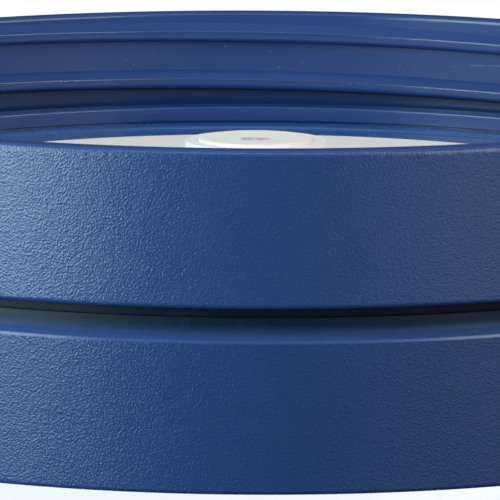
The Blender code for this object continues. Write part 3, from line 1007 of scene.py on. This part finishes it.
# Soft lights: azimuth from the front towards +X, elevation, distance in m from the collar, width
# and height in m, radiance and colour
SOFTBOXES = (
    ("key_left", -65.0, 30.0, 0.55, (0.42, 0.34), 6.5, (0.84, 1.0, 1.0)),
    ("fill_right", 60.0, 30.0, 0.55, (0.50, 0.34), 4.1, (1.0, 0.98, 0.90)),
    ("card_left", -56.0, 3.5, 0.55, (0.50, 0.16), 11.0, (0.73, 1.0, 0.86)),
    ("card_right", 44.5, -3.0, 0.55, (0.50, 0.20), 0.80, (1.0, 0.98, 0.85)),
    ("strip_top", 0.0, 65.0, 0.8, (0.60, 0.08), 4.8, (1.0, 1.0, 1.0)),
)
LIGHT_TARGET = 30.0  # depth that the soft lights aim at

# Camera: place in collar radii (rightwards, forwards, above the rim), lens, and angles
CAMERA_RIGHT, CAMERA_FORWARDS, CAMERA_UP = -0.0094, -12.0, 1.519
CAMERA_LENS = 487.1
CAMERA_DOWN, CAMERA_ROLL = 8.698, 0.275

STUDIO_R = 1.1  # of the studio's floor, in m
FLOOR_FADE = 0.45  # radius in m where the floor starts to fade


def softbox(name, azimuth, elevation, distance, size, radiance, colour):
    """A soft light that the camera doesn't see."""
    light = bpy.data.lights.new(name, "AREA")
    light.shape = "RECTANGLE"
    light.size, light.size_y = size
    light.energy = radiance * math.pi * size[0] * size[1]
    light.color = colour
    holder = bpy.data.objects.new(name, light)
    link(holder)
    turn, lift = math.radians(azimuth), math.radians(elevation)
    target = Vector((0.0, 0.0, height(LIGHT_TARGET) * MM))
    flat = math.cos(lift)
    offset = Vector((math.sin(turn) * flat, -math.cos(turn) * flat, math.sin(lift)))
    holder.location = target + offset * distance
    towards = target - holder.location
    holder.rotation_euler = towards.to_track_quat("-Z", "Y").to_euler()
    holder.visible_camera = False


def make_camera():
    """Stands in front, 12 collar radii away, and looks down by under nine degrees."""
    data = bpy.data.cameras.new("camera")
    data.lens = CAMERA_LENS
    data.sensor_width = 36.0
    camera = bpy.data.objects.new("camera", data)
    link(camera)
    camera.location = Vector((CAMERA_RIGHT, CAMERA_FORWARDS, 0.0)) * COLLAR_R * MM
    camera.location.z = (HEIGHT + CAMERA_UP * COLLAR_R) * MM
    tilt = Matrix.Rotation(math.radians(90.0 - CAMERA_DOWN), 4, "X")
    roll = Matrix.Rotation(math.radians(CAMERA_ROLL), 4, "Z")
    camera.rotation_euler = (tilt @ roll).to_euler()
    bpy.context.scene.camera = camera


def make_floor():
    """A pale disc that fades into the white backdrop."""
    bm = bmesh.new()
    bmesh.ops.create_circle(bm, cap_ends=True, segments=96, radius=STUDIO_R)
    floor = as_object("floor", bm)
    link(floor)
    n = Nodes("studio_floor")
    away = n.add("ShaderNodeVectorMath", Vector=n.place)
    away.operation = "LENGTH"
    n.set(
        Base_Color=n.mix(n.noise(60.0), FLOOR_GREYS),
        Roughness=0.6,
        Alpha=n.span(away.outputs["Value"], 1.0, 0.0, FLOOR_FADE, 0.95 * STUDIO_R),
    )
    floor.data.materials.append(n.material)
    floor.visible_diffuse = floor.visible_glossy = False


def make_world():
    """White behind everything; as a light, bright overhead and dim near the horizon."""
    world = bpy.data.worlds.new("studio")
    bpy.context.scene.world = world
    world.use_nodes = True
    tree = world.node_tree
    background = tree.nodes["Background"]
    coordinates = tree.nodes.new("ShaderNodeTexCoord")
    split = tree.nodes.new("ShaderNodeSeparateXYZ")
    tree.links.new(coordinates.outputs["Generated"], split.inputs[0])
    along = tree.nodes.new("ShaderNodeMapRange")
    tree.links.new(split.outputs["Z"], along.inputs["Value"])
    along.inputs["From Min"].default_value = -1.0
    sky = tree.nodes.new("ShaderNodeValToRGB")
    tree.links.new(along.outputs[0], sky.inputs[0])
    stops = sky.color_ramp.elements
    for index, (sine, level) in enumerate(SURROUNDINGS):
        place = (sine + 1.0) / 2
        stop = stops[index] if index < 2 else stops.new(place)
        stop.position = place
        stop.color = (level, level, level, 1.0)
    rays = tree.nodes.new("ShaderNodeLightPath")
    seen = tree.nodes.new("ShaderNodeMath")
    seen.operation = "MAXIMUM"
    tree.links.new(rays.outputs["Is Camera Ray"], seen.inputs[0])
    tree.links.new(rays.outputs["Is Transmission Ray"], seen.inputs[1])
    strength = tree.nodes.new("ShaderNodeMath")
    strength.operation = "MAXIMUM"
    tree.links.new(seen.outputs[0], strength.inputs[0])
    tree.links.new(sky.outputs[0], strength.inputs[1])
    tree.links.new(strength.outputs[0], background.inputs["Strength"])
    background.inputs["Color"].default_value = (1.0, 1.0, 1.0, 1.0)


def make_studio():
    """Floor, surroundings and soft lights."""
    make_floor()
    make_world()
    bpy.context.scene.view_settings.view_transform = "Standard"
    for light in SOFTBOXES:
        softbox(*light)


def make_canister():
    """The barrel, its collar, and what holds them together."""
    make_barrel()
    make_upper_band()
    make_lower_band()
    make_gasket("neck_gasket", CANISTER, 100.5, 102.6)
    for number, azimuth in enumerate(spread(6), 1):
        make_screw(f"collar_screw_{number}", CANISTER, azimuth, SCREW_CIRCLE_R, COLLAR_SCREW)


def make_lid():
    """The lid, its seal, panel and locks."""
    make_gasket("lid_seal", SEAL, 99.6, 102.8)
    make_lid_dish()
    make_lid_panel()
    make_gasket("panel_gasket", LID, 76.0, 81.0)
    make_retainer()
    for number, azimuth in enumerate(spread(6, 30.0), 1):
        make_screw(f"retainer_screw_{number}", LID, azimuth, PANEL_SCREW_R, RETAINER_SCREW)
    for number, azimuth in enumerate(spread(3, 270.0), 1):
        make_lock(number, azimuth)


make_camera()
make_studio()
make_canister()
make_lid()
make_thread_wear_and_highlight()
